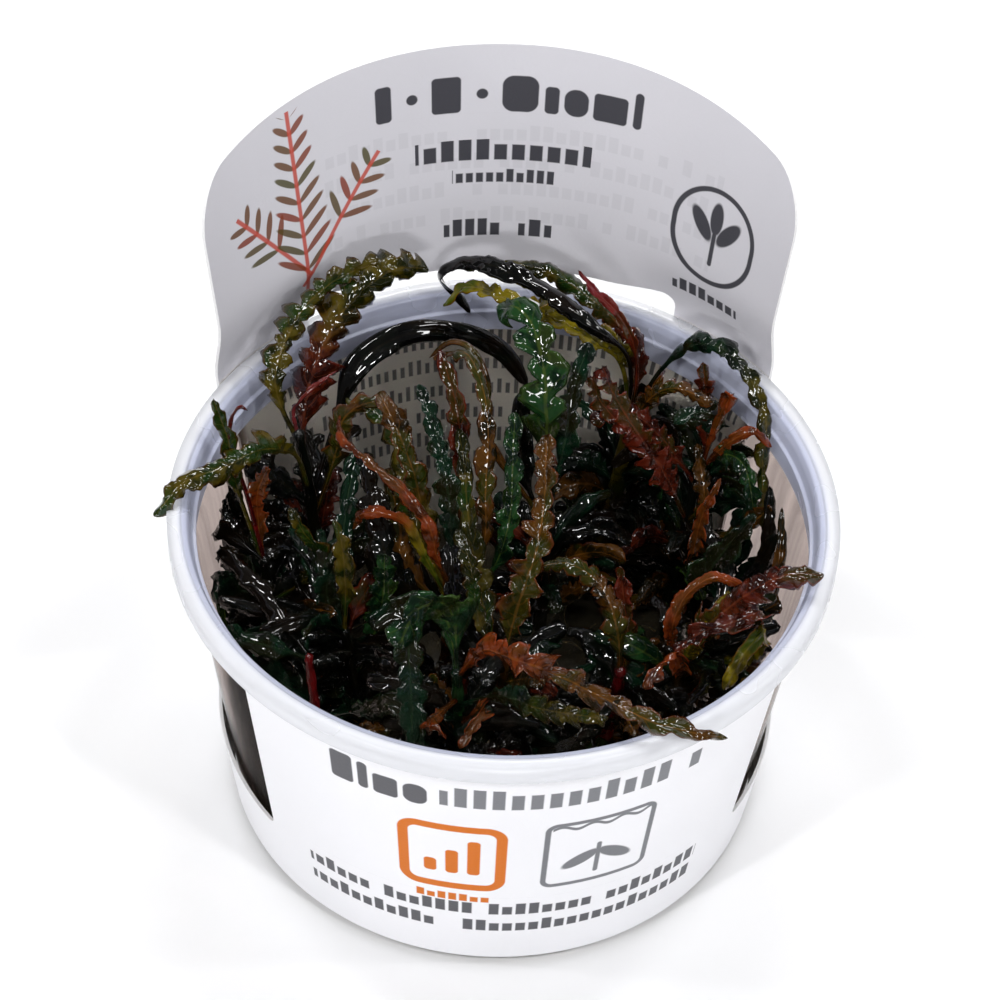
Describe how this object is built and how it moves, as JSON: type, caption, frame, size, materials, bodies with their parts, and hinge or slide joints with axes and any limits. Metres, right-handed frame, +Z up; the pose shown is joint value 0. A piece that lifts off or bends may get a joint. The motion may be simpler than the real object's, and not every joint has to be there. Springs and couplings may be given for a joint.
{
  "type": "tissue culture hygrophila pinnatifida in its cup",
  "caption": "Clump of wet, deeply lobed aquarium plant leaves growing in gel in a round tapered cup, with a printed sleeve that stands up as an arched tab behind the rim.",
  "frame": {"origin": "centre of the cup's flat underside", "axes": "+Z up out of the cup, the printed front faces -Y and the arched tab stands at +Y"},
  "size_m": [0.1028, 0.1053, 0.1025],
  "materials": {
    "cup_plastic": "translucent glossy moulded plastic",
    "sleeve_card": "satin white coated card",
    "nutrient_gel": "clear wet gel",
    "stem_dark": "wet glossy stem",
    "stem_brown": "wet glossy stem",
    "stem_red": "wet glossy stem",
    "leaf_olive": "wet glossy leaf",
    "leaf_brown": "wet glossy leaf",
    "leaf_red_brown": "wet glossy leaf",
    "leaf_orange": "wet glossy leaf",
    "leaf_yellow": "wet glossy leaf",
    "leaf_green": "wet glossy leaf",
    "leaf_teal": "wet glossy leaf",
    "leaf_dark": "wet glossy leaf"
  },
  "bodies": {
    "root": {"cup": "cup_plastic", "label_sleeve": "sleeve_card", "gel": "nutrient_gel", "stem_back_left": "stem_dark", "stem_left": "stem_dark", "stem_mid_left": "stem_brown", "stem_middle": "stem_brown", "stem_centre_back": "stem_dark", "stem_back_right": "stem_brown", "stem_far_right": "stem_dark", "stem_right": "stem_brown", "stem_front": "stem_dark", "stem_mid_right": "stem_red", "stem_front_left": "stem_dark", "stem_red": "stem_red", "leaf_left_1": "leaf_olive", "leaf_left_2": "leaf_olive", "leaf_left_3": "leaf_orange", "leaf_left_4": "leaf_dark", "leaf_left_5": "leaf_teal", "leaf_back_left_1": "leaf_red_brown", "leaf_back_left_2": "leaf_brown", "leaf_back_1": "leaf_dark", "leaf_back_2": "leaf_dark", "leaf_back_3": "leaf_yellow", "leaf_back_4": "leaf_red_brown", "leaf_back_5": "leaf_red_brown", "leaf_middle_1": "leaf_brown", "leaf_middle_2": "leaf_green", "leaf_middle_3": "leaf_teal", "leaf_middle_4": "leaf_dark", "leaf_middle_5": "leaf_brown", "leaf_middle_6": "leaf_red_brown", "leaf_mid_left_1": "leaf_orange", "leaf_mid_left_2": "leaf_yellow", "leaf_mid_left_3": "leaf_olive", "leaf_mid_left_4": "leaf_teal", "leaf_mid_left_5": "leaf_red_brown", "leaf_mid_left_6": "leaf_brown", "leaf_mid_left_7": "leaf_green", "leaf_right_1": "leaf_teal", "leaf_right_2": "leaf_green", "leaf_right_3": "leaf_brown", "leaf_right_4": "leaf_orange", "leaf_right_5": "leaf_orange", "leaf_right_6": "leaf_yellow", "leaf_right_7": "leaf_orange", "leaf_right_8": "leaf_teal", "leaf_back_right_1": "leaf_brown", "leaf_back_right_2": "leaf_red_brown", "leaf_back_right_3": "leaf_red_brown", "leaf_back_right_4": "leaf_red_brown", "leaf_front_1": "leaf_green", "leaf_front_2": "leaf_orange", "leaf_front_3": "leaf_teal", "leaf_front_4": "leaf_orange", "leaf_front_left_1": "leaf_teal", "leaf_front_left_2": "leaf_green", "leaf_front_left_3": "leaf_teal"}
  },
  "joints": []
}
